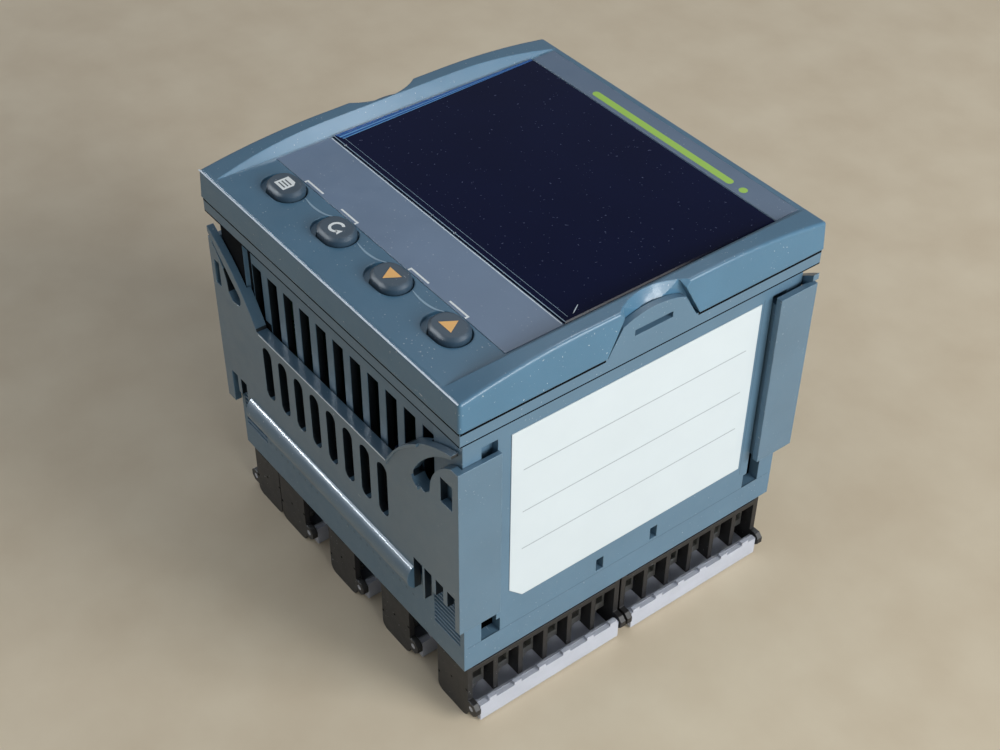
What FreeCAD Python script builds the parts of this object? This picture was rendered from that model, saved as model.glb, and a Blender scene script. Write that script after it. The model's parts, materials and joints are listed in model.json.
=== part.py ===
import FreeCAD, Part
import os
import re
import Sketcher

# A panel-mounted PID temperature controller with a square front. +Z points out of the front, +X
# to the right and +Y up as it hangs in a panel. The origin is the middle of the rear face, where
# the terminal blocks end, so the instrument stands on its terminals with the front up.

SIZES = {
    # Stack of levels from the rear face to the front, in millimetres
    "terminal_drop": 18.3,     # rear face to the sleeve's rear edge
    "body_length": 69.5,       # sleeve's rear edge to the face that seats on the panel
    "flange_thick": 3.5,
    "seal_thick": 0.5,
    "bezel_side": 6.7,         # height of the bezel's side at its corners
    "arch_rise": 2.8,          # the bezel's sides rise this much above its corners
    # Bezel
    "front_size": 96.0,
    "front_draft": 0.45,
    "arch_level": 17.0,        # half length of the level stretch at the top of the arch
    "edge_round": 0.7,
    "bezel_wall": 3.0,
    "front_plate": 2.4,        # thickness of the front under the display level
    "valley_lift": 0.2,        # display level above the bezel's corners
    "rim_foot": 6.3,           # bezel's side to where the display level meets the rim
    "valley_spread": 3.0,      # the rims' inner slopes lean out by this much at the top
    "scoop_radius": 16.0,      # finger scoop in the rim above each ear, part of a ball
    "scoop_out": 10.5,
    "scoop_lift": 7.0,
    # Display side of the front, in distances from the bezel's sides
    "view_inset": 7.0,
    "lens_foot": 30.5,
    "lens_inset": 9.0,
    "lens_thick": 1.6,
    "lens_proud": 0.35,
    "lens_ledge": 2.0,
    "lens_bevel": 0.3,
    "overlay_thick": 0.35,
    "overlay_sink": 0.3,
    "overlay_gap": 0.2,
    "legend_foot": 16.0,
    "strip_inset": 2.2,
    "fit_gap": 0.1,            # gap round parts that drop into a recess
    # Keys
    "key_pitch": 19.7,
    "key_foot": 11.4,
    "key_wide": 9.4,
    "key_tall": 7.2,
    "key_proud": 1.7,
    "key_round": 0.6,
    "key_gap": 0.25,
    "key_travel": 0.8,
    "key_collar": 0.6,         # the retaining collar under the front, in reach and thickness
    "dish_reach": 1.3,         # the dish round a key is wider and sits to its left
    "dish_shift": 0.9,
    "dish_rim": 0.45,
    "dish_deep": 0.9,
    # Display stack
    "carrier_half_wide": 42.0,
    "carrier_half_tall": 42.1,
    "carrier_wall": 1.2,
    "carrier_deep": 16.3,
    "carrier_ledge": 1.2,
    "board_thick": 1.6,
    "board_gap": 0.2,
    "backlight_thick": 4.0,
    "lcd_thick": 3.0,
    "lcd_margin": 3.5,
    "display_depth": 10.3,     # underside of the front plate to the display board's rear
    "keypad_shelf": 2.1,
    "keypad_depth": 5.7,       # underside of the front plate to the shelf's top
    "mat_base": 1.0,
    "dome_radius": 2.6,
    "dome_gap": 0.1,           # room left over a dome when its key is fully down
    # Sleeve
    "flange_inset": 0.4,       # flange's side inside the bezel's side
    "flange_lip": 2.2,         # flange's reach past the sleeve's faces
    "side_wall": 2.8,
    "vent_wall": 1.7,
    "rear_wall": 2.5,
    "vent_recess": 1.1,
    "recess_half": 36.0,
    "recess_low": 36.0,
    "vent_pitch": 6.53,
    "vent_wide": 4.1,
    "vent_low": 46.0,
    "vent_high": 79.6,
    "groove_low": 25.2,
    "groove_high": 82.5,
    "groove_inner": 36.9,      # near edge of a clip groove from the middle
    "groove_outer": 40.9,
    "groove_deep": 1.9,
    "latch_tall": 8.1,         # window at the rear end of a groove
    "latch_step": 1.0,
    "latch_step_tall": 4.2,
    "side_window_inner": 6.9,
    "side_window_outer": 9.0,
    "side_window_low": 26.0,
    "side_window_high": 29.8,
    "rib_pitch": 1.3,
    "rib_deep": 0.7,
    "rib_low": 25.2,
    "rib_inner": 34.6,
    "rib_outer": 44.0,
    # Latching ears, which stand on the flange in notches of the bezel
    "ear_base": 11.7,
    "ear_top": 8.2,
    "ear_shoulder": 6.1,
    "ear_rise": 7.9,
    "ear_thick": 1.5,
    "ear_gap": 0.2,
    "ear_slot_half": 5.0,
    "ear_slot_lift": 2.5,
    "ear_slot_high": 1.5,
    "notch_base": 12.2,
    "notch_top": 7.2,
    # Panel clips
    "clip_gap": 0.3,           # clip plate to the sleeve
    "clip_thick": 1.7,
    "tight_side": 1.2,         # reach past the sleeve of the flange that hugs it
    "loose_side": 2.8,         # reach past the sleeve of the flange that stands off
    "clip_rest": 33.0,         # level of the lower clip's rear edge
    "clip_top_lift": 2.5,      # the upper clip is pushed this much further forward
    "tight_flange_thick": 1.1,
    "loose_flange_thick": 1.5,
    "clip_flange_wide": 10.7,
    "clip_shoulder": 46.6,
    "loose_rise": 0.9,         # the loose shoulder stands this much higher
    "clip_sill": 31.4,
    "clip_sill_left": -29.8,
    "clip_sill_right": 21.7,
    "clip_edge": 0.5,
    "lip_tall": 1.3,           # the rim that deepens the plate's upper edges over the recess
    "lip_clear": 0.4,
    "rim_tall": 0.8,           # the proud rim along the arm at the tight side
    "rim_proud": 0.5,
    "eye_wide": 3.9,
    "eye_narrow": 2.2,
    "eye_inset": 2.0,
    "eye_tall": 6.7,
    "eye_low": 35.2,
    "pawl_reach": 0.25,
    "finger_first": 33.4,
    "finger_pitch": 4.1,
    "finger_wide": 1.4,
    "clip_tip": 50.2,
    "clip_hook": 1.2,
    "hook_clear": 0.3,
    "hook_high": 45.0,
    "clip_slot_wide": 3.7,
    "clip_slot_low": 13.9,
    "clip_slot_high": 29.0,
    "clip_notch_high": 9.9,
    "roll_high": 6.8,
    "roll_proud": 1.8,
    "roll_left": -36.5,
    "roll_right": 30.2,
    # Terminals
    "column_pitch": 22.3,
    "first_column": 38.8,      # middle of the column nearest the right side
    "mirror_column": 39.6,     # middle of the column at the left side, which faces left
    "block_half_wide": 5.6,
    "block_split": 0.3,        # half the gap between two blocks end to end
    "block_inset": 1.5,        # block end inside the sleeve's face
    "block_back": 3.0,
    "end_plate": 1.4,
    "plate_round": 2.0,
    "fin_thick": 1.3,
    "fin_low": 4.5,
    "rail_drop": 2.1,
    "rail_thick": 1.4,
    "block_top": 2.2,
    "tongue_shift": 2.0,
    "tongue_half": 3.0,
    "tongue_inset": 5.0,
    "tongue_high": 9.7,        # tongue and socket above the sleeve's rear edge
    "socket_deep": 6.0,
    "tongue_gap": 0.2,
    "clamp_wide": 5.6,
    "clamp_long": 4.2,
    "clamp_low": 6.5,
    "clamp_high": 13.5,
    "clamp_bore": 1.5,
    "screw_radius": 1.9,
    "screw_high": 2.8,
    # Terminal covers
    "cover_gap": 0.3,
    "cover_thick": 1.2,
    "hinge_out": 6.8,          # hinge axis from the middle of its column
    "hinge_level": 4.2,
    "barrel_radius": 1.1,
    "skirt_out": 1.3,          # outer face of a cover's skirt past its hinge axis
    "skirt_thick": 1.0,
    "tooth_high": 0.9,
    "tooth_long": 2.0,
    "tooth_start": 2.2,
    "pin_radius": 0.7,
    "pin_clear": 0.05,
    "lug_radius": 1.9,
    "lug_cut": 1.1,
    # Boards and what they carry
    "board_half": 38.0,
    "header_half": 2.2,
    "header_long": 12.0,
    "header_high": 9.0,
    "header_grip": 4.0,
    "slot_gap": 0.1,
    "transformer_level": 48.0,
    "core_size": 26.0,
    "core_high": 22.0,
    "core_deep": 12.0,
    "coil_wall": 2.5,
    "can_radius": 6.0,
    "can_long": 16.0,
    "can_level": 67.0,
    "can_spread": 14.0,
    "relay_wide": 10.0,
    "relay_long": 20.0,
    "relay_high": 15.0,
    "relay_level": 32.0,
    "relay_spread": 24.0,
    "chip_size": 12.0,
    "chip_thick": 1.5,
    "chip_level": 52.0,
    "chip_spread": 16.0,
    # Label
    "label_low": 33.1,
    "label_high": 81.9,
    "label_half": 33.6,
    "label_cut": 3.5,
    "label_thick": 0.15,
}

VENTS = 11
CLIP_SLOTS = 8
FIRST_CLIP_SLOT = -4
RIBS = 16
WAYS = 6
FINGERS = 3
SIDES = 8
KEYS = ("page_button", "scroll_button", "down_button", "up_button")
BOARDS = ("comms_board", "main_board", "output_board", "power_board")

doc = FreeCAD.newDocument("controller")
sheet = doc.addObject("Spreadsheet::Sheet", "Sizes")
for row, (alias, number) in enumerate(SIZES.items(), 1):
    sheet.set(f"A{row}", str(number))
    sheet.setAlias(f"A{row}", alias)
doc.recompute()

SEAT = "(terminal_drop + body_length)"
FLANGE_TOP = f"({SEAT} + flange_thick)"
BEZEL_LOW = f"({FLANGE_TOP} + seal_thick)"
CORNER = f"({BEZEL_LOW} + bezel_side)"
CROWN = f"({CORNER} + arch_rise)"
PLATEAU = f"({CORNER} + valley_lift)"
PLATE_UNDER = f"({PLATEAU} - front_plate)"
BOARD_REAR = f"({PLATE_UNDER} - display_depth)"
SHELF_TOP = f"({PLATE_UNDER} - keypad_depth)"
FRONT = "(front_size / 2)"
VIEW = f"({FRONT} - view_inset)"
VALLEY = f"({FRONT} - rim_foot)"
LENS_LOW = f"(lens_foot - {FRONT})"
LENS_HIGH = f"({FRONT} - lens_inset)"
LEGEND_LOW = f"(legend_foot - {FRONT})"
STRIP_HIGH = f"({FRONT} - strip_inset)"
KEY_ROW = f"(key_foot - {FRONT})"
FLANGE = f"({FRONT} - flange_inset)"
EAR_INNER = f"({FLANGE} - ear_thick)"
FACE = f"({FLANGE} - flange_lip)"
VENT_FACE = f"({FACE} - vent_recess)"
CLIP_INNER = f"({FACE} + clip_gap)"
CLIP_OUTER = f"({CLIP_INNER} + clip_thick)"
TIGHT = f"({FACE} + tight_side)"
LOOSE = f"({FACE} + loose_side)"

parts = []


# Helpers that tie every size and place to the sheet

def value(text):
    """The number that an expression of the sheet's names gives."""
    return float(sheet.evalExpression(text))


def bind(thing, prop, text):
    """Ties a property to an expression of the sheet's names."""
    expression = re.sub(r"[a-z][a-z_]*", lambda word: "Sizes." + word[0], text)
    thing.setExpression(prop, expression)


def place(thing, spot):
    for axis, text in zip("xyz", spot):
        bind(thing, f"Placement.Base.{axis}", text)


def box(name, x, y, z):
    """A box from a low to a high expression along each axis."""
    solid = doc.addObject("Part::Box", name)
    for prop, (low, high) in zip(("Length", "Width", "Height"), (x, y, z)):
        bind(solid, prop, f"({high}) - ({low})")
    place(solid, (x[0], y[0], z[0]))
    return solid


def cylinder(name, axis, radius, length, spot):
    """A cylinder that starts at a spot and runs along X, Y or Z."""
    solid = doc.addObject("Part::Cylinder", name)
    turns = {"X": ((0, 1, 0), 90), "Y": ((1, 0, 0), -90), "Z": ((0, 0, 1), 0)}
    direction, angle = turns[axis]
    turn = FreeCAD.Rotation(FreeCAD.Vector(*direction), angle)
    solid.Placement = FreeCAD.Placement(FreeCAD.Vector(), turn)
    bind(solid, "Radius", radius)
    bind(solid, "Height", length)
    place(solid, spot)
    return solid


def bar(name, axis, radius, length, spot):
    """A straight bar with flat sides inside a radius, which runs along Y or Z."""
    solid = doc.addObject("Part::Prism", name)
    turn = FreeCAD.Rotation(FreeCAD.Vector(1, 0, 0), -90 if axis == "Y" else 0)
    solid.Placement = FreeCAD.Placement(FreeCAD.Vector(), turn)
    solid.Polygon = SIDES
    bind(solid, "Circumradius", radius)
    bind(solid, "Height", length)
    place(solid, spot)
    return solid


def spot_of(point):
    return FreeCAD.Vector(value(point[0]), value(point[1]), 0)


def pin_point(sketch, edge, end, point):
    """Ties a point of a sketch to two expressions."""
    for kind, text in zip(("DistanceX", "DistanceY"), point):
        index = sketch.addConstraint(Sketcher.Constraint(kind, -1, 1, edge, end, value(text)))
        bind(sketch, f"Constraints[{index}]", text)


def draw_step(sketch, here, step):
    """Draws one line, or one arc through a middle point, and returns its edge and its ends."""
    there = step[-2:]
    if len(step) == 2:
        return sketch.addGeometry(Part.LineSegment(spot_of(here), spot_of(there)), False), 1, 2
    middle = step[:2]
    first, passing, last = spot_of(here), spot_of(middle), spot_of(there)
    forward = (passing - first).cross(last - passing).z > 0
    if not forward:
        first, last = last, first
    edge = sketch.addGeometry(Part.Arc(first, passing, last), False)
    passed = sketch.addGeometry(Part.Point(spot_of(middle)), True)
    pin_point(sketch, passed, 1, middle)
    sketch.addConstraint(Sketcher.Constraint("PointOnObject", passed, 1, edge))
    return (edge, 1, 2) if forward else (edge, 2, 1)


def draw_outline(sketch, start, steps):
    """Draws a closed outline: each step is an end point, or a point passed and an end point."""
    edges = []
    here = start
    closing = [] if steps[-1][-2:] == start else [start]
    for step in list(steps) + closing:
        edge, first, last = draw_step(sketch, here, step)
        here = step[-2:]
        edges.append((edge, first, last, here))
    for this, following in zip(edges, edges[1:] + edges[:1]):
        sketch.addConstraint(Sketcher.Constraint("Coincident", this[0], this[2], following[0],
                                                 following[1]))
        pin_point(sketch, this[0], this[2], this[3])


def prism(name, plane, start, steps, low, high):
    """A body padded from an outline on a plane, between two levels along the third axis."""
    body = doc.addObject("PartDesign::Body", name)
    sketch = body.newObject("Sketcher::SketchObject", f"{name}_sketch")
    support = [item for item in body.Origin.OriginFeatures if item.Role == f"{plane}_Plane"][0]
    sketch.AttachmentSupport = [(support, "")]
    sketch.MapMode = "FlatFace"
    bind(sketch, "AttachmentOffset.Base.z", f"-({high})" if plane == "XZ" else low)
    draw_outline(sketch, start, steps)
    pad = body.newObject("PartDesign::Pad", f"{name}_pad")
    pad.Profile = sketch
    bind(pad, "Length", f"({high}) - ({low})")
    return body


def repeat(body, axis, step, count):
    """Repeats a body's pad in line, along its sketch's H_Axis or V_Axis."""
    pattern = body.newObject("PartDesign::LinearPattern", f"{body.Name}_row")
    pattern.Originals = [doc.getObject(f"{body.Name}_pad")]
    pattern.Direction = (doc.getObject(f"{body.Name}_sketch"), [axis])
    bind(pattern, "Length", f"({step}) * {count - 1}")
    pattern.Occurrences = count
    body.Tip = pattern
    return body


def soften(body, size, wanted):
    """Bevels the edges of a body that a test picks."""
    doc.recompute()
    base = body.Tip
    names = [f"Edge{i}" for i, edge in enumerate(base.Shape.Edges, 1) if wanted(edge)]
    feature = body.newObject("PartDesign::Chamfer", f"{body.Name}_bevel")
    feature.Base = (base, names)
    bind(feature, "Size", size)
    body.Tip = feature
    return body


def stadium(name, middle, row, wide, tall, low, high):
    """An oval prism on XY: a rectangle with fully rounded left and right ends."""
    flat = f"(({wide}) - ({tall})) / 2"
    left, right = f"{middle} - {flat}", f"{middle} + {flat}"
    bottom, top = f"{row} - ({tall}) / 2", f"{row} + ({tall}) / 2"
    steps = [(right, bottom), (f"{middle} + ({wide}) / 2", row, right, top), (left, top),
             (f"{middle} - ({wide}) / 2", row, left, bottom)]
    return prism(name, "XY", (left, bottom), steps, low, high)


def fuse(name, pieces):
    joined = doc.addObject("Part::MultiFuse", name)
    joined.Shapes = pieces
    joined.Refine = True
    return joined


def group(name, pieces):
    """Separate solids that share one node."""
    gathered = doc.addObject("Part::Compound", name)
    gathered.Links = pieces
    return gathered


def cut(name, base, tools):
    """Takes tools that don't meet each other away from a base."""
    result = doc.addObject("Part::Cut", name)
    result.Base = base
    result.Tool = tools[0] if len(tools) == 1 else group(f"{name}_tools", tools)
    result.Refine = True
    return result


def turned(name, thing):
    """A copy turned half round about Z."""
    copy = doc.addObject("Part::Mirroring", f"{name}_across")
    copy.Source = thing
    copy.Normal = (1, 0, 0)
    second = doc.addObject("Part::Mirroring", name)
    second.Source = copy
    second.Normal = (0, 1, 0)
    return second


def mirrored(name, thing, normal):
    """A copy mirrored through the origin."""
    copy = doc.addObject("Part::Mirroring", name)
    copy.Source = thing
    copy.Normal = normal
    return copy


def finish(thing, node):
    """Names a finished sub-part, which also names its file."""
    thing.Label = node
    parts.append(thing)
    return thing


# Front bezel: an arched block with leaning sides, hollowed from behind

def bezel_blank():
    half = FRONT
    arch = prism("bezel_arch", "YZ", (f"-{half}", BEZEL_LOW),
                 [(half, BEZEL_LOW), (half, CORNER), arch_arc(1, "arch_level", CROWN),
                  ("-arch_level", CROWN), arch_arc(-1, f"-{half}", CORNER)],
                 f"-{half}", half)
    return arch


def arch_arc(side, end, level):
    """One curved stretch of the arch: level at its inner end and falling to the corner."""
    run = f"({FRONT} - arch_level)"
    middle = f"{side} * (arch_level + {run} / 2)"
    return (middle, f"{CROWN} - arch_rise / 4", end, level)


def leaning_block():
    """The square that the bezel's leaning sides bound."""
    lean = doc.addObject("Part::Wedge", "bezel_lean")
    turn = FreeCAD.Rotation(FreeCAD.Vector(1, 0, 0), 90)
    lean.Placement = FreeCAD.Placement(FreeCAD.Vector(), turn)
    height = "(bezel_side + arch_rise + edge_round)"
    half = FRONT
    for prop, text in {"Xmin": f"-{half}", "Xmax": half, "Zmin": f"-{half}", "Zmax": half,
                       "X2min": f"-{half} + front_draft", "X2max": f"{half} - front_draft",
                       "Z2min": f"-{half} + front_draft", "Z2max": f"{half} - front_draft",
                       "Ymin": "0", "Ymax": height}.items():
        bind(lean, prop, text)
    place(lean, ("0", "0", BEZEL_LOW))
    return lean


def is_front_edge(edge):
    """Picks the outer top edges and the upright corner edges of the bezel's blank."""
    box_of = edge.BoundBox
    outer = value(f"{FRONT} - front_draft") - 0.2
    level = value(CORNER) - 0.3
    upright = box_of.ZLength > value("bezel_side") - 1 and box_of.XLength < 1 and box_of.YLength < 1
    along_x = min(abs(box_of.YMin), abs(box_of.YMax)) > outer and box_of.ZMin > level
    along_y = min(abs(box_of.XMin), abs(box_of.XMax)) > outer and box_of.ZMin > level
    return upright or along_x or along_y


def make_bezel():
    blank = doc.addObject("Part::Common", "bezel_blank")
    blank.Base = bezel_blank()
    blank.Tool = leaning_block()
    doc.recompute()
    rounded = doc.addObject("Part::Fillet", "bezel_rounded")
    rounded.Base = blank
    radius = value("edge_round")
    rounded.Edges = [(number, radius, radius) for number, edge in enumerate(blank.Shape.Edges, 1)
                     if is_front_edge(edge)]
    far = "front_size"
    valley = prism("bezel_valley", "XZ", (f"-{VALLEY}", PLATEAU),
                   [(VALLEY, PLATEAU), (f"{VALLEY} + valley_spread", f"{CROWN} + 1"),
                    (f"-{VALLEY} - valley_spread", f"{CROWN} + 1")], f"-{far}", far)
    inner = f"({FRONT} - bezel_wall)"
    hollow = box("bezel_hollow", (f"-{inner}", inner), (f"-{inner}", inner),
                 (f"{BEZEL_LOW} - 1", PLATE_UNDER))
    above = f"{PLATEAU} + 2 * arch_rise"
    view = (f"-{VIEW} - fit_gap", f"{VIEW} + fit_gap")
    lens_seat = box("lens_seat", view, (f"{LENS_LOW} - fit_gap", f"{LENS_HIGH} + fit_gap"),
                    (f"{PLATEAU} + lens_proud - lens_thick", above))
    opening = box("lens_opening", (f"-{VIEW} + lens_ledge", f"{VIEW} - lens_ledge"),
                  (f"{LENS_LOW} + lens_ledge", f"{LENS_HIGH} - lens_ledge"),
                  (f"{PLATE_UNDER} - 1", above))
    legend_seat = box("legend_seat", view,
                      (f"{LEGEND_LOW} - fit_gap", f"{LENS_LOW} - overlay_gap"),
                      (f"{PLATEAU} - overlay_sink", above))
    strip_seat = box("strip_seat", view,
                     (f"{LENS_HIGH} + overlay_gap", f"{STRIP_HIGH} + fit_gap"),
                     (f"{PLATEAU} - overlay_sink", above))
    holes = []
    dishes = []
    for number, key in enumerate(KEYS):
        middle = key_middle(number)
        holes.append(stadium(f"{key}_hole", middle, KEY_ROW, "key_wide + 2 * key_gap",
                             "key_tall + 2 * key_gap", f"{PLATE_UNDER} - 1", above))
        dishes.append(stadium(f"{key}_dish", f"({middle} - dish_shift)", KEY_ROW,
                              "key_wide + 2 * dish_reach", "key_tall + 2 * dish_rim",
                              f"{PLATEAU} - dish_deep", above))
    seats = fuse("bezel_seats", [valley, lens_seat, opening, legend_seat, strip_seat] + dishes + holes)
    shell = cut("bezel_shell", cut("bezel_open", rounded, [hollow]), [seats])
    notched = cut("bezel_notched", shell, [ear_notch("right_ear_notch", 1),
                                           ear_notch("left_ear_notch", -1)])
    finish(cut("bezel", notched, [scoop("right_scoop", 1), scoop("left_scoop", -1)]), "front_bezel")


def key_middle(number):
    return f"({number} - {(len(KEYS) - 1) / 2}) * key_pitch"


def ear_notch(name, side):
    """The notch in the bezel's side that an ear stands in, narrower towards the front."""
    inner, outer = f"{EAR_INNER} - ear_gap", f"{FRONT} + 1"
    span = (inner, outer) if side > 0 else (f"-({outer})", f"-({inner})")
    return prism(name, "YZ", ("-notch_base", f"{BEZEL_LOW} - 1"),
                 [("notch_base", f"{BEZEL_LOW} - 1"), ("notch_base", BEZEL_LOW),
                  ("notch_top", CROWN), ("notch_top", f"{CROWN} + 1"),
                  ("-notch_top", f"{CROWN} + 1"), ("-notch_top", CROWN),
                  ("-notch_base", BEZEL_LOW)], *span)


def scoop(name, side):
    """The ball that leaves a hollow in the rim, where a finger reaches an ear."""
    ball = doc.addObject("Part::Sphere", name)
    bind(ball, "Radius", "scoop_radius")
    place(ball, (f"{side} * ({FRONT} + scoop_out)", "0", f"{CROWN} + scoop_lift"))
    return ball


def make_front_parts():
    lens_top = f"{PLATEAU} + lens_proud"
    lens = prism("lens", "XY", (f"-{VIEW}", LENS_LOW),
                 [(VIEW, LENS_LOW), (VIEW, LENS_HIGH), (f"-{VIEW}", LENS_HIGH)],
                 f"{lens_top} - lens_thick", lens_top)
    top_level = value(lens_top) - 0.01
    soften(lens, "lens_bevel", lambda edge: edge.BoundBox.ZMin > top_level)
    finish(lens, "display_window")
    low = f"{PLATEAU} - overlay_sink"
    for node, y in (("legend_panel", (LEGEND_LOW, f"{LENS_LOW} - overlay_gap - fit_gap")),
                    ("upper_strip", (f"{LENS_HIGH} + overlay_gap + fit_gap", STRIP_HIGH))):
        finish(box(node, (f"-{VIEW}", VIEW), y, (low, f"{low} + overlay_thick")), node)
    for number, key in enumerate(KEYS):
        make_key(key, key_middle(number))


def make_key(key, middle):
    """An oval key with a collar that holds it under the front."""
    top = f"{PLATEAU} + key_proud"
    cap = stadium(f"{key}_cap", middle, KEY_ROW, "key_wide", "key_tall", PLATE_UNDER, top)
    top_level = value(top) - 0.01
    soften(cap, "key_round", lambda edge: edge.BoundBox.ZMin > top_level)
    collar = stadium(f"{key}_collar", middle, KEY_ROW, "key_wide + 2 * key_collar",
                     "key_tall + 2 * key_collar", f"{PLATE_UNDER} - key_collar", PLATE_UNDER)
    finish(fuse(f"{key}_solid", [cap, collar]), key)


# Display stack, carried in a frame behind the front

def make_display():
    wide, tall = "carrier_half_wide", "carrier_half_tall"
    low = f"{PLATE_UNDER} - carrier_deep"
    ring = box("carrier_block", (f"-{wide}", wide), (f"-{tall}", tall), (low, PLATE_UNDER))
    inner_wide, inner_tall = f"({wide} - carrier_wall)", f"({tall} - carrier_wall)"
    ledge_wide, ledge_tall = f"({inner_wide} - carrier_ledge)", f"({inner_tall} - carrier_ledge)"
    front_room = box("carrier_front_room", (f"-{inner_wide}", inner_wide),
                     (f"-{inner_tall}", inner_tall), (BOARD_REAR, f"{PLATE_UNDER} + 1"))
    through = box("carrier_through", (f"-{ledge_wide}", ledge_wide),
                  (f"-{ledge_tall}", ledge_tall), (f"{low} - 1", f"{BOARD_REAR} + 1"))
    rear_room = box("carrier_rear_room", (f"-{inner_wide}", inner_wide),
                    (f"-{inner_tall}", inner_tall), (f"{low} - 1", f"{BOARD_REAR} - carrier_ledge"))
    frame = cut("carrier_frame", ring, [fuse("carrier_rooms", [front_room, through, rear_room])])
    shelf = box("keypad_shelf", (f"-{inner_wide}", inner_wide),
                (f"-{inner_tall}", f"{LEGEND_LOW} + key_collar"),
                (f"{SHELF_TOP} - keypad_shelf", SHELF_TOP))
    finish(fuse("carrier", [frame, shelf]), "display_carrier")

    edge_x, edge_y = f"({inner_wide} - board_gap)", f"({inner_tall} - board_gap)"
    board_top = f"({BOARD_REAR} + board_thick)"
    finish(box("display_pcb", (f"-{edge_x}", edge_x), (f"-{edge_y}", edge_y),
               (BOARD_REAR, board_top)), "display_board")
    x = (f"-{VIEW} + lcd_margin", f"{VIEW} - lcd_margin")
    y = (f"{LENS_LOW} + lcd_margin", f"{LENS_HIGH} - lcd_margin")
    light_top = f"({board_top} + backlight_thick)"
    finish(box("light_guide", x, y, (board_top, light_top)), "backlight")
    finish(box("lcd", x, y, (light_top, f"{light_top} + lcd_thick")), "lcd_module")

    keypad_top = f"({SHELF_TOP} + board_thick)"
    pad_y = (f"-{edge_y}", LEGEND_LOW)
    finish(box("keypad_pcb", x, pad_y, (SHELF_TOP, keypad_top)), "keypad_board")
    mat = [box("mat_sheet", x, pad_y, (keypad_top, f"{keypad_top} + mat_base"))]
    dome_top = f"({PLATE_UNDER} - key_collar - key_travel - dome_gap)"
    for number, key in enumerate(KEYS):
        mat.append(cylinder(f"{key}_dome", "Z", "dome_radius", f"{dome_top} - {keypad_top}",
                            (key_middle(number), KEY_ROW, keypad_top)))
    finish(fuse("mat", mat), "keypad_mat")
    outer = f"({EAR_INNER} - fit_gap)"
    inner = f"({FRONT} - bezel_wall)"
    seal = box("seal_block", (f"-{outer}", outer), (f"-{outer}", outer), (FLANGE_TOP, BEZEL_LOW))
    seal_hole = box("seal_hole", (f"-{inner} + 1", f"{inner} - 1"),
                    (f"-{inner} + 1", f"{inner} - 1"), (f"{FLANGE_TOP} - 1", f"{BEZEL_LOW} + 1"))
    finish(cut("seal", seal, [seal_hole]), "bezel_seal")


# Sleeve: a square tube with a flange, latching ears, vents, clip grooves and ratchet strips

def vent_cutter(near, far):
    """A row of slots that passes through both vent walls."""
    first = f"-vent_pitch * {(VENTS - 1) / 2}"
    left, right = f"{first} - vent_wide / 2", f"{first} + vent_wide / 2"
    slot = prism("vent", "XZ", (left, "vent_low"),
                 [(right, "vent_low"), (right, "vent_high"), (left, "vent_high")], near, far)
    return repeat(slot, "H_Axis", "vent_pitch", VENTS)


def rib_cutter(name, inner, outer):
    """A row of shallow sawtooth grooves on both strips' faces, between two distances along X."""
    deep = f"({FACE} - rib_deep)"
    saw = prism(name, "YZ", (FACE + " + 1", "rib_low"),
                [(FACE + " + 1", "rib_low + rib_pitch * 0.75"), (FACE, "rib_low + rib_pitch * 0.75"),
                 (deep, "rib_low")], inner, outer)
    return repeat(saw, "V_Axis", "rib_pitch", RIBS)


def both_ways(pieces, normal):
    """Pieces and their mirror images through the middle."""
    return pieces + [mirrored(f"{piece.Name}_mirror", piece, normal) for piece in pieces]


def make_ear(side):
    """A latching ear: an arched tab that stands on the flange, and the slot to cut in it."""
    name = "right_ear" if side > 0 else "left_ear"

    def span(low, high):
        return (low, high) if side > 0 else (f"-({high})", f"-({low})")

    low = f"{SEAT} + flange_thick / 3"
    shoulder = f"{FLANGE_TOP} + ear_shoulder"
    tab = prism(f"{name}_tab", "YZ", ("-ear_base", low),
                [("ear_base", low), ("ear_base", FLANGE_TOP), ("ear_top", shoulder),
                 ("0", f"{FLANGE_TOP} + ear_rise", "-ear_top", shoulder),
                 ("-ear_base", FLANGE_TOP)], *span(EAR_INNER, FLANGE))
    slot_low = f"{FLANGE_TOP} + ear_slot_lift"
    slot = box(f"{name}_slot", span(f"{EAR_INNER} - 1", f"{FLANGE} + 1"),
               ("-ear_slot_half", "ear_slot_half"), (slot_low, f"{slot_low} + ear_slot_high"))
    return tab, slot


def clip_track():
    """The groove that a clip's hook runs in, and the stepped window at its rear end."""
    outside = f"{FACE} + 1"
    across = ("groove_inner", "groove_outer")
    groove = box("groove", (f"{FACE} - groove_deep", outside), across, ("groove_low", "groove_high"))
    deep = (f"{FACE} - side_wall - 1", outside)
    window = box("latch_window", deep, across, ("groove_low", "groove_low + latch_tall"))
    step = box("latch_step_window", deep, ("groove_inner - latch_step", "groove_outer"),
               ("groove_low", "groove_low + latch_step_tall"))
    return fuse("clip_track", [groove, window, step])


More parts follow.
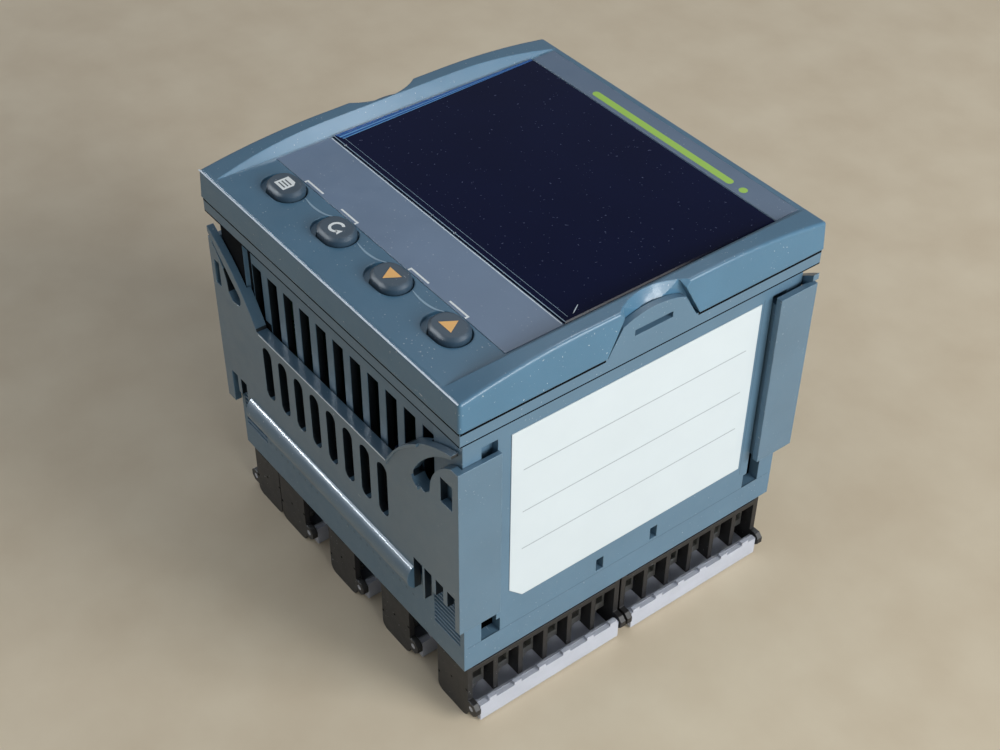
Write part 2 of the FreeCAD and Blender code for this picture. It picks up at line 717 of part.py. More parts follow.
def make_sleeve():
    body = box("sleeve_body", (f"-{FACE}", FACE), (f"-{FACE}", FACE), ("terminal_drop", FLANGE_TOP))
    flange = box("sleeve_flange", (f"-{FLANGE}", FLANGE), (f"-{FLANGE}", FLANGE),
                 (SEAT, FLANGE_TOP))
    right_ear, right_slot = make_ear(1)
    left_ear, left_slot = make_ear(-1)
    blank = fuse("sleeve_blank", [body, flange, right_ear, left_ear])
    room_x, room_y = f"({FACE} - side_wall)", f"({VENT_FACE} - vent_wall)"
    room = box("sleeve_room", (f"-{room_x}", room_x), (f"-{room_y}", room_y),
               ("terminal_drop + rear_wall", f"{FLANGE_TOP} + bezel_side + arch_rise"))
    shell = cut("sleeve_shell", blank, [room])
    recess = box("vent_recess_cutter", ("-recess_half", "recess_half"), (VENT_FACE, f"{FACE} + 1"),
                 ("recess_low", SEAT))
    faced = cut("sleeve_faced", shell, both_ways([recess], (0, 1, 0)))
    vented = cut("sleeve_vented", faced, [vent_cutter(f"-{FRONT}", FRONT)])
    ribs = both_ways([rib_cutter("rib_right", "rib_inner", "rib_outer"),
                      rib_cutter("rib_left", "-rib_outer", "-rib_inner")], (0, 1, 0))
    window = box("side_window", (f"{FACE} - side_wall - 1", f"{FACE} + 1"),
                 ("side_window_inner", "side_window_outer"), ("side_window_low", "side_window_high"))
    sides = both_ways(both_ways([clip_track(), window], (0, 1, 0)), (1, 0, 0))
    slots = []
    for column, (middle, face) in enumerate(COLUMNS, 1):
        for end in (-1, 1):
            slots.append(tongue(f"tongue_slot_{column}_{'near' if end < 0 else 'far'}", middle, face,
                                end, "tongue_gap", "terminal_drop - 1",
                                "terminal_drop + rear_wall + 1"))
    ribbed = cut("sleeve_ribbed", vented, ribs)
    tracked = cut("sleeve_tracked", ribbed, sides)
    finish(cut("sleeve_solid", tracked, slots + [right_slot, left_slot]), "sleeve")


# Panel clips: a vented plate with two spring arms, a rolled edge and a hooked flange at each side

def clip_outline(name, low, near, far):
    """The plate's outline, seen from outside, from its rear edge up to the arms' tips."""

    def at(x, rise):
        return (x, f"{low} + {rise}")

    right, left = TIGHT, f"-{LOOSE}"
    steps = [
        at(right, "clip_shoulder"),
        at(f"{right} - 2.4", "clip_shoulder"),
        at(f"{right} - 6.6", "clip_shoulder - 3.4") + at(f"{right} - 9.4", "clip_shoulder - 9"),
        at(f"{right} - 9.7", "clip_sill + 3.4"),
        at(f"{right} - 11.4", "clip_sill + 1.8"),
        at(f"{right} - 13.4", "clip_sill + 2.1"),
        at(f"{right} - 15.1", "clip_sill + 3.6") + at(f"{right} - 15.2", "clip_sill + 5.2"),
        at(f"{right} - 10.2", "clip_tip - 6.6") + at(f"{right} - 2.2", "clip_tip - 0.8"),
        at(f"{right} - 2.2", "clip_tip"),
        at(f"{right} - 13.4", "clip_tip - 5") + at("clip_sill_right", "clip_sill"),
        at("clip_sill_left", "clip_sill"),
        at(f"{left} + 10.3", "clip_tip - 7.9") + at(left, "clip_tip"),
        at(left, "clip_tip - 1.6"),
        at(f"{left} + 11.4", "clip_tip - 12.3"),
        at(f"{left} + 12.2", "clip_sill + 4.8") + at(f"{left} + 11.4", "clip_sill + 3"),
        at(f"{left} + 8.5", "clip_sill + 2.7"),
        at(f"{left} + 6.9", "clip_sill + 4.4"),
        at(f"{left} + 5.2", "clip_shoulder - 4.6") + at(left, "clip_shoulder + loose_rise"),
        at(left, "0"),
    ]
    return prism(name, "XZ", at(right, "0"), steps, near, far)


def clip_rim(name, low, tall, x, near, far):
    """A rim along the plate's upper edges: the outline less a copy moved to the rear."""
    whole = clip_outline(f"{name}_whole", low, near, far)
    lowered = clip_outline(f"{name}_lowered", f"({low} - {tall})", f"{near} - 1", f"{far} + 1")
    rim = doc.addObject("Part::Common", name)
    rim.Base = cut(f"{name}_edges", whole, [lowered])
    rim.Tool = box(f"{name}_span", x, (near, far), (f"{low} + clip_sill - {tall}",
                                                    f"{low} + clip_tip"))
    return rim


def clip_slots(name, low):
    half = "clip_slot_wide / 2"
    first = f"vent_pitch * ({FIRST_CLIP_SLOT})"
    left, right = f"{first} - {half}", f"{first} + {half}"
    bottom, top = f"{low} + clip_slot_low", f"{low} + clip_slot_high"
    slot = prism(f"{name}_slot", "XZ", (left, f"{bottom} + {half}"),
                 [(first, bottom, right, f"{bottom} + {half}"), (right, f"{top} - {half}"),
                  (first, top, left, f"{top} - {half}")], f"-{CLIP_OUTER} - 1", f"-{CLIP_INNER} + 1")
    return repeat(slot, "H_Axis", "vent_pitch", CLIP_SLOTS)


def clip_windows(name, low):
    """Openings that leave thin fingers over the ratchet strips, at both ends of the roll."""
    y = (f"-{CLIP_OUTER} - 1", f"-{CLIP_INNER} + 1")
    top = f"{low} + clip_notch_high"
    cutters = [box(f"{name}_roll_notch", ("roll_right", "finger_first"), y, (f"{low} - 1", top))]
    for number in range(FINGERS):
        inner = f"(finger_first + finger_wide / 2 + {number} * finger_pitch)"
        outer = f"(finger_first + {number + 1} * finger_pitch - finger_wide / 2)"
        next_window = f"({outer} + finger_wide)"
        for side, tag in ((1, "right"), (-1, "left")):
            if side < 0 and number == 0:
                continue
            window = (inner, outer) if side > 0 else (f"-{outer}", f"-{inner}")
            cutters.append(box(f"{name}_{tag}_window_{number}", window, y, (f"{low} - 1", top)))
            if number < FINGERS - 1:
                stub = (outer, next_window) if side > 0 else (f"-{next_window}", f"-{outer}")
                cutters.append(box(f"{name}_{tag}_stub_{number}", stub, y,
                                   (f"{low} - 1", f"{low} + clip_notch_high / 2")))
    return fuse(f"{name}_windows", cutters)


def clip_pawls(name, low):
    """Small teeth on the fingers, just clear of the ratchet ribs."""
    teeth = []
    for side, tag in ((1, "right"), (-1, "left")):
        middle = f"{side} * (finger_first + finger_pitch)"
        teeth.append(box(f"{name}_{tag}_pawl",
                         (f"{middle} - finger_wide / 2", f"{middle} + finger_wide / 2"),
                         (f"-{CLIP_INNER} - clip_thick / 2", f"-{CLIP_INNER} + pawl_reach"),
                         (f"{low} + clip_notch_high / 2", f"{low} + clip_notch_high / 2 + rib_pitch")))
    return teeth


def clip_flange(name, low, outer, thick, top, side):
    """A side flange that wraps round the sleeve, with a hook that runs in the sleeve's groove."""
    y_inner = f"-({CLIP_OUTER} - clip_flange_wide)"
    sheet_x = (f"{outer} - {thick}", outer)
    hook_x = (f"{FACE} - clip_hook", f"{outer} - {thick} / 2")
    if side < 0:
        sheet_x = (f"-{outer}", f"-({outer} - {thick})")
        hook_x = (f"-({outer} - {thick} / 2)", f"-({FACE} - clip_hook)")
    return [box(f"{name}_flange", sheet_x, (f"-{CLIP_OUTER}", y_inner), (low, f"{low} + {top}")),
            box(f"{name}_hook", hook_x, ("hook_clear - groove_outer", "-groove_inner - hook_clear"),
                (f"{low} + clip_edge", f"{low} + hook_high"))]


def make_clip(name, low):
    start = (f"-{CLIP_OUTER} + clip_thick / 2", low)
    roll = prism(f"{name}_roll", "YZ", start,
                 [(f"-{CLIP_OUTER}", low),
                  (f"-{CLIP_OUTER} - roll_proud", f"{low} + roll_high / 2", f"-{CLIP_OUTER}",
                   f"{low} + roll_high"),
                  (f"-{CLIP_OUTER} + clip_thick / 2", f"{low} + roll_high")], "roll_left", "roll_right")
    eyes = [box(f"{name}_{tag}_eye", x, (f"-{CLIP_OUTER} - 1", f"-{CLIP_INNER} + 1"),
                (f"{low} + eye_low", f"{low} + eye_low + eye_tall"))
            for tag, x in (("right", (f"{TIGHT} - eye_inset - eye_wide", f"{TIGHT} - eye_inset")),
                           ("left", (f"loose_flange_thick - {LOOSE}",
                                     f"loose_flange_thick + eye_narrow - {LOOSE}")))]
    sheet = clip_outline(f"{name}_sheet", low, f"-{CLIP_OUTER}", f"-{CLIP_INNER}")
    lip_span = ("lip_clear - recess_half", "recess_half - lip_clear")
    lip = clip_rim(f"{name}_lip", low, "lip_tall", lip_span, f"-{CLIP_INNER}",
                   f"-({VENT_FACE} + lip_clear)")
    rim = clip_rim(f"{name}_rim", low, "rim_tall", ("clip_sill_right", "finger_first"),
                   f"-{CLIP_OUTER} - rim_proud", f"-{CLIP_OUTER}")
    plate = cut(f"{name}_plate", sheet, [clip_slots(name, low)])
    plate = cut(f"{name}_open", plate, [clip_windows(name, low)] + eyes)
    pieces = [plate, lip, rim, roll] + clip_pawls(name, low)
    pieces += clip_flange(f"{name}_tight", low, TIGHT, "tight_flange_thick", "clip_shoulder", 1)
    pieces += clip_flange(f"{name}_loose", low, LOOSE, "loose_flange_thick",
                          "(clip_shoulder + loose_rise)", -1)
    return fuse(f"{name}_solid", pieces)


def make_clips():
    finish(make_clip("lower_clip", "clip_rest"), "clip_bottom")
    upper = make_clip("upper_clip", "(clip_rest + clip_top_lift)")
    finish(turned("upper_clip_turned", upper), "clip_top")


# Terminals: five columns of two six-way blocks, with cage clamps, screws and hinged covers

COLUMNS = [("-mirror_column", -1)]
COLUMNS += [(f"(first_column - {step} * column_pitch)", 1) for step in (3, 2, 1, 0)]
END_LOW = "block_split"
END_HIGH = f"({FACE} - block_inset)"
WAY = f"(({END_HIGH} - {END_LOW} - end_plate) / {WAYS})"
BLOCK_LOW = "(2 * cover_gap + cover_thick)"
FIN_TOP = "(terminal_drop - rail_drop)"
SOCKET_TOP = "(terminal_drop + tongue_high)"


def across(middle, face, low, high):
    """A range along X measured from a column's middle towards the side that it faces."""
    if face > 0:
        return f"{middle} + ({low})", f"{middle} + ({high})"
    return f"{middle} - ({high})", f"{middle} - ({low})"


def along(end, low, high):
    """A range along Y measured from the middle towards the near or far end."""
    return (low, high) if end > 0 else (f"-({high})", f"-({low})")


def tongue(name, middle, face, end, grow, low, high):
    """The part of a block that passes through the sleeve's rear wall, or its slot there."""
    x = across(middle, face, f"-tongue_shift - tongue_half - {grow}",
               f"-tongue_shift + tongue_half + {grow}")
    y = along(end, f"{END_LOW} + tongue_inset - {grow}", f"{END_HIGH} - tongue_inset + {grow}")
    return box(name, x, y, (low, high))


def end_plate(name, middle, face, end, far):
    """A block's end wall, with rounded rear corners and a lug for the cover's hinge pin."""
    y_low = f"{END_HIGH} - end_plate" if far else END_LOW
    y = along(end, y_low, f"{y_low} + end_plate")
    half, turn = "block_half_wide", "plate_round"
    left, right = f"{middle} - {half}", f"{middle} + {half}"
    near = f"{turn} * 0.3"
    wall = prism(f"{name}_wall", "XZ", (f"{left} + {turn}", "0"),
                 [(f"{right} - {turn}", "0"), (f"{right} - {near}", near, right, turn),
                  (right, "terminal_drop"), (left, "terminal_drop"), (left, turn),
                  (f"{left} + {near}", near, f"{left} + {turn}", "0")], *y)

    def out(reach):
        return f"{middle} + {face} * ({reach})"

    root, tip = out(half), out("hinge_out + lug_radius")
    flat = out("hinge_out + lug_radius - lug_cut")
    low, high = "hinge_level - lug_radius", "hinge_level + lug_radius"
    lug = prism(f"{name}_lug", "XZ", (root, low),
                [(flat, low), (tip, f"{low} + lug_cut"), (tip, f"{high} - lug_cut"), (flat, high),
                 (root, high)], *y)
    return [wall, lug]


def make_block(number, middle, face, end):
    name = f"block_{number}"
    half = "block_half_wide"
    length = along(end, END_LOW, END_HIGH)
    pieces = [
        box(f"{name}_back", across(middle, face, f"-{half}", f"-{half} + block_back"), length,
            (BLOCK_LOW, "terminal_drop")),
        box(f"{name}_top", across(middle, face, f"-{half}", f"{half} - block_top"), length,
            (FIN_TOP, "terminal_drop")),
        box(f"{name}_rail", across(middle, face, f"{half} - rail_thick", half), length,
            (f"{FIN_TOP} - rail_thick", FIN_TOP)),
        tongue(f"{name}_tongue", middle, face, end, "0", FIN_TOP, SOCKET_TOP),
    ]
    for fin in range(1, WAYS):
        low = f"{END_LOW} + {fin} * {WAY}"
        pieces.append(box(f"{name}_fin_{fin}", across(middle, face, f"-{half}", half),
                          along(end, low, f"{low} + fin_thick"), ("fin_low", FIN_TOP)))
    pieces += end_plate(f"{name}_inner", middle, face, end, False)
    pieces += end_plate(f"{name}_outer", middle, face, end, True)
    socket = "(board_thick / 2 + slot_gap)"
    slot = box(f"{name}_socket", across(middle, face, f"-tongue_shift - {socket}",
                                        f"-tongue_shift + {socket}"),
               length, (f"{SOCKET_TOP} - socket_deep", f"{SOCKET_TOP} + 1"))
    bore = cylinder(f"{name}_pin_bore", "Y", "pin_radius + pin_clear",
                    f"{END_HIGH} - {END_LOW} + 2",
                    (f"{middle} + {face} * hinge_out", f"{length[0]} - 1", "hinge_level"))
    finish(cut(f"{name}_solid", fuse(f"{name}_blank", pieces), [slot, bore]),
           f"terminal_block_{number}")


def make_cover(number, middle, face, end):
    """A clear cover under a block: a plate, a toothed skirt and a hinge bar with end pins."""
    name = f"cover_{number}"
    low, high = f"{END_LOW} + end_plate + cover_gap", f"{END_HIGH} - end_plate - cover_gap"
    y = along(end, low, high)
    outer, skirt_inner = "hinge_out + skirt_out", "hinge_out + skirt_out - skirt_thick"
    skirt_top = "hinge_level + barrel_radius"
    pieces = [
        box(f"{name}_plate", across(middle, face, "-block_half_wide + cover_gap", outer), y,
            ("cover_gap", "cover_gap + cover_thick")),
        box(f"{name}_skirt", across(middle, face, skirt_inner, outer), y, ("cover_gap", skirt_top)),
        box(f"{name}_web", across(middle, face, "hinge_out", skirt_inner), y,
            ("hinge_level - barrel_radius / 2", "hinge_level + barrel_radius / 2")),
    ]
    for way in range(WAYS):
        start = f"{END_LOW} + {way} * {WAY} + tooth_start"
        pieces.append(box(f"{name}_tooth_{way}", across(middle, face, skirt_inner, outer),
                          along(end, start, f"{start} + tooth_long"),
                          (skirt_top, f"{skirt_top} + tooth_high")))
    x = f"{middle} + {face} * hinge_out"
    pieces.append(bar(f"{name}_bar", "Y", "barrel_radius", f"{high} - ({low})",
                      (x, y[0], "hinge_level")))
    reach = "(end_plate + cover_gap)"
    pieces.append(cylinder(f"{name}_pins", "Y", "pin_radius", f"{high} - ({low}) + 2 * {reach}",
                           (x, f"{y[0]} - {reach}", "hinge_level")))
    finish(fuse(f"{name}_solid", pieces), f"terminal_cover_{number}")


def make_terminals():
    clamps, screws = [], []
    number = 0
    for middle, face in COLUMNS:
        for end in (-1, 1):
            number += 1
            make_block(number, middle, face, end)
            make_cover(number, middle, face, end)
            for way in range(WAYS):
                centre = f"({END_LOW} + ({way} + 0.5) * {WAY} + fin_thick / 2)"
                clamps.append(make_clamp(f"clamp_{number}_{way}", middle, face, end, centre))
                x = f"{middle} + {face} * (block_back - block_half_wide + clamp_wide / 2)"
                screws.append(bar(f"screw_{number}_{way}", "Z", "screw_radius", "screw_high",
                                  (x, f"{end} * {centre}", "clamp_low - screw_high")))
    finish(group("clamps", clamps), "wire_clamps")
    finish(group("screws", screws), "terminal_screws")


def make_clamp(name, middle, face, end, centre):
    """A cage clamp with a square wire opening towards the side that its column faces."""
    back = "block_back - block_half_wide"
    block = box(f"{name}_block", across(middle, face, back, f"{back} + clamp_wide"),
                along(end, f"{centre} - clamp_long / 2", f"{centre} + clamp_long / 2"),
                ("clamp_low", "clamp_high"))
    middle_level = "(clamp_low + clamp_high) / 2"
    bore = box(f"{name}_bore", across(middle, face, f"{back} + 1", f"{back} + clamp_wide + 1"),
               along(end, f"{centre} - clamp_bore", f"{centre} + clamp_bore"),
               (f"{middle_level} - clamp_bore", f"{middle_level} + clamp_bore"))
    return cut(name, block, [bore])


# Boards, which plug into the blocks' sockets and into headers under the display board

HEADER_LOW = f"({BOARD_REAR} - header_high)"
BOARD_LOW = f"({SOCKET_TOP} - socket_deep + board_gap)"
BOARD_TOP = f"({HEADER_LOW} + header_grip - board_gap)"


def board_middle(number):
    """Middle of a board's thickness, in the tongue of its column."""
    return f"({COLUMNS[number + 1][0]} - tongue_shift)"


def make_boards():
    headers = []
    for number, node in enumerate(BOARDS):
        middle = board_middle(number)
        finish(box(f"{node}_pcb", (f"{middle} - board_thick / 2", f"{middle} + board_thick / 2"),
                   ("-board_half", "board_half"), (BOARD_LOW, BOARD_TOP)), node)
        body = box(f"{node}_header_body", (f"{middle} - header_half", f"{middle} + header_half"),
                   ("-header_long", "header_long"), (HEADER_LOW, BOARD_REAR))
        grip = "(board_thick / 2 + slot_gap)"
        slot = box(f"{node}_header_slot", (f"{middle} - {grip}", f"{middle} + {grip}"),
                   ("-header_long - 1", "header_long + 1"), (f"{HEADER_LOW} - 1",
                                                            f"{HEADER_LOW} + header_grip"))
        headers.append(cut(f"{node}_header", body, [slot]))
    finish(group("headers", headers), "board_headers")


def make_components():
    face = f"({board_middle(3)} - board_thick / 2)"
    level = "transformer_level"
    core_x = (f"{face} - coil_wall - core_deep", f"{face} - coil_wall")
    side, leg, window = "core_size / 2", "core_size / 6", "core_high / 3"
    core = box("core_block", core_x, (f"-{side}", side),
               (f"{level} - core_high / 2", f"{level} + core_high / 2"))
    windows = [box(f"core_window_{tag}", (f"{core_x[0]} - 1", f"{core_x[1]} + 1"), y,
                   (f"{level} - {window}", f"{level} + {window}"))
               for tag, y in (("near", (f"-2 * {leg}", f"-{leg}")), ("far", (leg, f"2 * {leg}")))]
    finish(cut("core", core, windows), "transformer_core")
    coil = box("coil_block", (f"{core_x[0]} - coil_wall", face), (f"-2 * {leg}", f"2 * {leg}"),
               (f"{level} - {window}", f"{level} + {window}"))
    coil_hole = box("coil_hole", core_x, (f"-{leg}", leg),
                    (f"{level} - {window} - 1", f"{level} + {window} + 1"))
    finish(cut("coil", coil, [coil_hole]), "transformer_coil")

    cans = [cylinder(f"can_{tag}", "X", "can_radius", "can_long", (f"{face} - can_long", y, "can_level"))
            for tag, y in (("near", "-can_spread"), ("far", "can_spread"))]
    finish(group("cans", cans), "capacitors")

    relay_face = f"({board_middle(2)} - board_thick / 2)"
    relays = [box(f"relay_{number}", (f"{relay_face} - relay_wide", relay_face),
                  (f"({number} - 1) * relay_spread - relay_long / 2",
                   f"({number} - 1) * relay_spread + relay_long / 2"),
                  ("relay_level", "relay_level + relay_high")) for number in range(3)]
    finish(group("relay_set", relays), "relays")

    chips = []
    for number, board in enumerate((0, 0, 1, 1)):
        chip_face = f"({board_middle(board)} + board_thick / 2)"
        y = f"({number % 2} * 2 - 1) * chip_spread"
        chips.append(box(f"chip_{number}", (chip_face, f"{chip_face} + chip_thick"),
                         (f"{y} - chip_size / 2", f"{y} + chip_size / 2"),
                         ("chip_level", "chip_level + chip_size")))
    finish(group("chip_set", chips), "chips")


def make_label():
    """A plain label on the right side, with one corner cut off."""
    label = prism("label", "YZ", ("-label_half + label_cut", "label_low"),
                  [("label_half", "label_low"), ("label_half", "label_high"),
                   ("-label_half", "label_high"), ("-label_half", "label_low + label_cut")],
                  FACE, f"{FACE} + label_thick")
    finish(label, "rating_label")


def check_model():
    """Stops on an object that failed, or on a sub-part with no sound shape."""
    failed = [thing.Name for thing in doc.Objects
              if "Invalid" in thing.State or "Error" in thing.State]
    if failed:
        raise RuntimeError(f"failed objects: {failed}")
    unsound = [part.Label for part in parts if part.Shape.isNull() or not part.Shape.isValid()]
    if unsound:
        raise RuntimeError(f"unsound sub-parts: {unsound}")


make_bezel()
make_front_parts()
make_display()
make_sleeve()
make_clips()
make_terminals()
make_boards()
make_components()
make_label()
doc.recompute()
check_model()
os.makedirs("parts", exist_ok=True)
for part in parts:
    part.Shape.exportStep(f"parts/{part.Label}.step")
print(f"{len(parts)} sub-parts, {sum(len(part.Shape.Solids) for part in parts)} solids")
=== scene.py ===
import json
import math

import bmesh
import bpy
from mathutils import Matrix, Vector


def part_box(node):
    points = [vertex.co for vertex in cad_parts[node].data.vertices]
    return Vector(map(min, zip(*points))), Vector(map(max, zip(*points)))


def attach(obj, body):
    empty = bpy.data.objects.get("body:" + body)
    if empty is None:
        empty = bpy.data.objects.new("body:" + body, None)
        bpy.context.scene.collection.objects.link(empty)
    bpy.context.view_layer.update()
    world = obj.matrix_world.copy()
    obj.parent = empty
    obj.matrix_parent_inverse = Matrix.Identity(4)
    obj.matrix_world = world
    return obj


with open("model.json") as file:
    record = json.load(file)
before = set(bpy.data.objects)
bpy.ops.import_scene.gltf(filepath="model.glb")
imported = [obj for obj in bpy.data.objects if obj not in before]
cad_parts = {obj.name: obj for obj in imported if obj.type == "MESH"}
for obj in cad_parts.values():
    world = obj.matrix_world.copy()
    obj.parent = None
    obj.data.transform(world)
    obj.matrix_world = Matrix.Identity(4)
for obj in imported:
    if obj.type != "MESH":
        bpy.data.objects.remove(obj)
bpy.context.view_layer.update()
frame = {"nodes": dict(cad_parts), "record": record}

MM = 0.001
INK = 0.03 * MM      # thickness of printed marks
KEYS = ("page_button", "scroll_button", "down_button", "up_button")
BLOCKS = range(1, 11)


# Colours and node materials

def colour(red, green, blue):
    """A colour given in display values from 0 to 255, as linear light."""
    def linear(value):
        part = value / 255
        return part / 12.92 if part <= 0.04045 else ((part + 0.055) / 1.055) ** 2.4
    return (linear(red), linear(green), linear(blue), 1.0)


def shade(rgba, factor):
    return tuple(min(1.0, part * factor) for part in rgba[:3]) + (1.0,)


class Paint:
    """A material under construction: its node tree, its shader and its place in object space."""

    def __init__(self, name):
        self.material = bpy.data.materials.new(name)
        self.material.use_nodes = True
        self.tree = self.material.node_tree
        self.shader = self.tree.nodes["Principled BSDF"]
        self.place = self.node("ShaderNodeTexCoord").outputs["Object"]

    def node(self, kind, **settings):
        made = self.tree.nodes.new(kind)
        for key, value in settings.items():
            setattr(made, key, value)
        return made

    def join(self, source, target):
        self.tree.links.new(source, target)

    def noise(self, scale, detail=3.0, stretch=None):
        noise = self.node("ShaderNodeTexNoise")
        noise.inputs["Scale"].default_value = scale
        noise.inputs["Detail"].default_value = detail
        place = self.place
        if stretch:
            mapping = self.node("ShaderNodeMapping")
            mapping.inputs["Scale"].default_value = stretch
            self.join(self.place, mapping.inputs["Vector"])
            place = mapping.outputs["Vector"]
        self.join(place, noise.inputs["Vector"])
        return noise.outputs["Fac"]

    def ramp(self, source, low, high, first=0.0, last=1.0):
        """Spreads a source's stretch from low to high over the range from first to last."""
        spread = self.node("ShaderNodeMapRange")
        for key, value in (("From Min", low), ("From Max", high),
                           ("To Min", first), ("To Max", last)):
            spread.inputs[key].default_value = value
        self.join(source, spread.inputs["Value"])
        return spread.outputs["Result"]

    def mix(self, factor, first, second):
        mixer = self.node("ShaderNodeMix", data_type="RGBA")
        for key, value in ((6, first), (7, second)):
            if isinstance(value, tuple):
                mixer.inputs[key].default_value = value
            else:
                self.join(value, mixer.inputs[key])
        self.join(factor, mixer.inputs[0])
        return mixer.outputs[2]

    def bump(self, height, strength, distance, rounded=None):
        bump = self.node("ShaderNodeBump")
        bump.inputs["Strength"].default_value = strength
        bump.inputs["Distance"].default_value = distance
        self.join(height, bump.inputs["Height"])
        if rounded:
            self.join(rounded, bump.inputs["Normal"])
        self.join(bump.outputs["Normal"], self.shader.inputs["Normal"])

    def maths(self, operation, first, second):
        made = self.node("ShaderNodeMath", operation=operation)
        for socket, value in zip(made.inputs, (first, second)):
            if isinstance(value, float):
                socket.default_value = value
            else:
                self.join(value, socket)
        return made.outputs[0]

    def rounded(self, radius):
        """The normal of softly rounded edges, and a mask that is 1 on those edges."""
        bevel = self.node("ShaderNodeBevel", samples=4)
        bevel.inputs["Radius"].default_value = radius
        flat = self.node("ShaderNodeNewGeometry").outputs["Normal"]
        turn = self.node("ShaderNodeVectorMath", operation="DOT_PRODUCT")
        self.join(bevel.outputs["Normal"], turn.inputs[0])
        self.join(flat, turn.inputs[1])
        return bevel.outputs["Normal"], self.ramp(turn.outputs["Value"], 0.985, 0.86)

    def inside(self, wide, deep, floor):
        """A mask that is 1 within a reach along X and one along Y, above the level of the floor."""
        parts = self.node("ShaderNodeSeparateXYZ")
        self.join(self.place, parts.inputs[0])
        mask = self.maths("GREATER_THAN", parts.outputs["Z"], floor)
        for axis, reach in (("X", wide), ("Y", deep)):
            near = self.maths("LESS_THAN", self.maths("ABSOLUTE", parts.outputs[axis], 0.0), reach)
            mask = self.maths("MULTIPLY", mask, near)
        return mask

    def facing(self, axis, least):
        """A mask that is 1 on faces turned more than a share towards one axis, either way."""
        parts = self.node("ShaderNodeSeparateXYZ")
        self.join(self.node("ShaderNodeTexCoord").outputs["Normal"], parts.inputs[0])
        return self.maths("GREATER_THAN", self.maths("ABSOLUTE", parts.outputs[axis], 0.0), least)

    def set(self, **values):
        names = {"metallic": "Metallic", "ior": "IOR", "specular": "Specular IOR Level",
                 "coat": "Coat Weight", "coat_roughness": "Coat Roughness",
                 "transmission": "Transmission Weight", "alpha": "Alpha"}
        for key, value in values.items():
            self.shader.inputs[names[key]].default_value = value


DUST = colour(206, 214, 220)
RUBBED_AND_HIGHLIT = 2.4         # how much lighter an edge is, partly from rubbing and partly as a painted highlight
UNLIT = 0.06         # how dark the painted shade in an unlit hollow is
GRAIN = 0.05 * MM    # depth of the finest bumps


def moulded(name, rgba, roughness=0.5, grain=0.25, dust=0.0, mottle=0.05, edge_highlight=0.25, wear_and_sheen=0.0,
            shaded_hollow=None, shaded_slots=(), **values):
    """Moulded plastic: a fine spark-eroded grain, slight mottling, edges that are a little rounded and
    lighter, partly rubbed and partly a painted highlight, and dust and short fibres that have settled
    on it. Its hollow is painted nearly black as shade, and so are the cut walls in its slots."""
    paint = Paint(name)
    paint.set(**values)
    tint = paint.mix(paint.ramp(paint.noise(70), 0.3, 0.7),
                     shade(rgba, 1 - mottle), shade(rgba, 1 + mottle))
    normal, edges = paint.rounded(edge_highlight * MM)
    # Lighter edges: partly real rubbing, partly a painted highlight
    if wear_and_sheen:
        patch = paint.ramp(paint.noise(350, 5.0), 0.38, 0.62, 0.0, wear_and_sheen)
        tint = paint.mix(paint.maths("MULTIPLY", edges, patch), tint, shade(rgba, RUBBED_AND_HIGHLIT))
    if dust:
        speck = paint.ramp(paint.noise(1900, 1.0), 0.735, 0.77, 0.0, dust)
        patch = paint.ramp(paint.noise(120), 0.42, 0.6)
        lint = paint.ramp(paint.noise(260, 2.0, (1.0, 7.0, 3.0)), 0.775, 0.79, 0.0, dust)
        settled = paint.maths("MAXIMUM", paint.maths("MULTIPLY", speck, patch), lint)
        tint = paint.mix(settled, tint, DUST)
    # Painted shade: the inside of the hollow is darkened nearly to black
    if shaded_hollow:
        tint = paint.mix(paint.inside(*shaded_hollow), tint, shade(rgba, UNLIT))
    # Painted shade: cut walls in the slots that face along X are darkened nearly to black
    for reach, least in shaded_slots:
        shaded_walls = paint.maths("MULTIPLY", paint.inside(*reach), paint.facing("X", least))
        tint = paint.mix(shaded_walls, tint, shade(rgba, UNLIT))
    paint.join(tint, paint.shader.inputs["Base Color"])
    fine = paint.noise(5200, 2.0)
    paint.join(paint.ramp(paint.noise(240), 0.3, 0.7, roughness - 0.05, roughness + 0.06),
               paint.shader.inputs["Roughness"])
    paint.bump(fine, grain, GRAIN, normal)
    return paint.material


def polished(name, rgba, roughness=0.08, scratches=0.12, **values):
    """A smooth glossy surface with hair scratches that only show in its gloss."""
    paint = Paint(name)
    paint.set(**values)
    hair = paint.ramp(paint.noise(160, 6.0, (1.0, 9.0, 1.0)), 0.66, 0.7)
    tint = paint.mix(paint.ramp(paint.noise(40), 0.3, 0.7), shade(rgba, 0.92), shade(rgba, 1.08))
    speck = paint.ramp(paint.noise(1500, 1.0), 0.745, 0.78, 0.0, 0.6)
    tint = paint.mix(speck, tint, colour(96, 104, 140))
    paint.join(tint, paint.shader.inputs["Base Color"])
    paint.join(paint.ramp(hair, 0.0, 1.0, roughness, roughness + scratches),
               paint.shader.inputs["Roughness"])
    paint.bump(paint.noise(30), 0.05, GRAIN)
    return paint.material


def printed(name, rgba, roughness=0.45, **values):
    """Ink: nearly even, with a slightly worn film."""
    paint = Paint(name)
    paint.set(**values)
    worn = paint.ramp(paint.noise(1500, 4.0), 0.6, 0.8, 0.0, 0.35)
    paint.join(paint.mix(worn, rgba, shade(rgba, 0.75)), paint.shader.inputs["Base Color"])
    paint.join(paint.ramp(paint.noise(400), 0.3, 0.7, roughness - 0.05, roughness + 0.05),
               paint.shader.inputs["Roughness"])
    return paint.material


def brushed(name, rgba, roughness=0.35, stretch=(1.0, 1.0, 12.0)):
    """Plated metal with fine marks along one way."""
    paint = Paint(name)
    paint.set(metallic=1.0)
    marks = paint.noise(900, 4.0, stretch)
    paint.join(paint.mix(marks, shade(rgba, 0.8), shade(rgba, 1.1)),
               paint.shader.inputs["Base Color"])
    paint.join(paint.ramp(marks, 0.3, 0.7, roughness - 0.08, roughness + 0.1),
               paint.shader.inputs["Roughness"])
    paint.bump(marks, 0.2, 0.03 * MM)
    return paint.material


